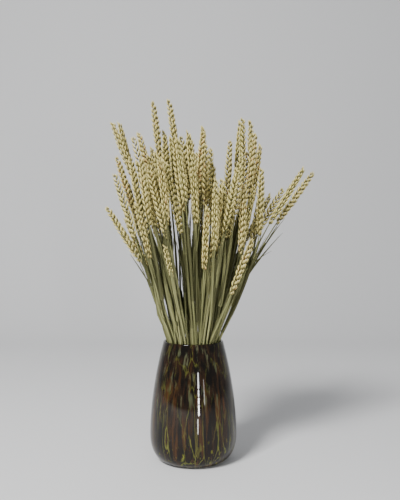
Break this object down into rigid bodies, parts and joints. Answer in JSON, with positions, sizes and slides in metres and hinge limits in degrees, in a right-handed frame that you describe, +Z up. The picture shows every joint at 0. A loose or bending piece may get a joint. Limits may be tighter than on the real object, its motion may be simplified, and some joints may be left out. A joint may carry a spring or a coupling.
{
  "type": "glass vase of dried wheat ears",
  "caption": "Upright bunch of dried wheat, each straw topped by a two-rowed ear, fanning out of a bellied vase of mottled brown glass that narrows to its rim.",
  "frame": {"origin": "centre of the vase's flat foot, on the surface it stands on", "axes": "+Z up along the vase's axis, -Y towards the front of the bunch, +X to the right as seen from the front, where the longest stalks lean out"},
  "size_m": [0.3322, 0.212, 0.572],
  "materials": {
    "mottled_glass": "glossy, dark brown mottling veined with yellow-green over amber",
    "dry_wheat": "matt dry straw, olive to pale gold"
  },
  "bodies": {
    "root": {"vase": "mottled_glass", "wheat_stalk_21": "dry_wheat", "wheat_stalk_22": "dry_wheat", "wheat_stalk_23": "dry_wheat", "wheat_stalk_24": "dry_wheat", "wheat_stalk_25": "dry_wheat", "wheat_pair_26": "dry_wheat", "wheat_pair_27": "dry_wheat", "wheat_pair_28": "dry_wheat", "wheat_pair_29": "dry_wheat", "wheat_pair_30": "dry_wheat", "wheat_pair_31": "dry_wheat", "wheat_pair_32": "dry_wheat", "wheat_pair_33": "dry_wheat", "wheat_pair_34": "dry_wheat", "wheat_pair_35": "dry_wheat", "wheat_pair_36": "dry_wheat", "wheat_pair_37": "dry_wheat", "wheat_pair_38": "dry_wheat", "wheat_pair_39": "dry_wheat", "wheat_pair_40": "dry_wheat", "wheat_pair_41": "dry_wheat", "wheat_pair_42": "dry_wheat", "wheat_pair_43": "dry_wheat", "wheat_pair_44": "dry_wheat", "wheat_pair_45": "dry_wheat", "wheat_pair_46": "dry_wheat", "wheat_pair_47": "dry_wheat", "wheat_pair_48": "dry_wheat", "wheat_pair_49": "dry_wheat", "wheat_pair_50": "dry_wheat", "wheat_pair_51": "dry_wheat", "wheat_pair_52": "dry_wheat", "wheat_pair_53": "dry_wheat", "wheat_pair_54": "dry_wheat", "wheat_pair_55": "dry_wheat", "wheat_pair_56": "dry_wheat", "wheat_pair_57": "dry_wheat", "wheat_pair_58": "dry_wheat", "wheat_pair_59": "dry_wheat", "wheat_stalk_01": "dry_wheat", "wheat_stalk_02": "dry_wheat", "wheat_stalk_03": "dry_wheat", "wheat_stalk_04": "dry_wheat", "wheat_stalk_05": "dry_wheat", "wheat_stalk_06": "dry_wheat", "wheat_stalk_07": "dry_wheat", "wheat_stalk_08": "dry_wheat", "wheat_stalk_09": "dry_wheat", "wheat_stalk_10": "dry_wheat", "wheat_stalk_11": "dry_wheat", "wheat_stalk_12": "dry_wheat", "wheat_stalk_13": "dry_wheat", "wheat_stalk_14": "dry_wheat", "wheat_stalk_15": "dry_wheat", "wheat_stalk_16": "dry_wheat", "wheat_stalk_17": "dry_wheat", "wheat_stalk_18": "dry_wheat", "wheat_stalk_19": "dry_wheat", "wheat_stalk_20": "dry_wheat"}
  },
  "joints": []
}
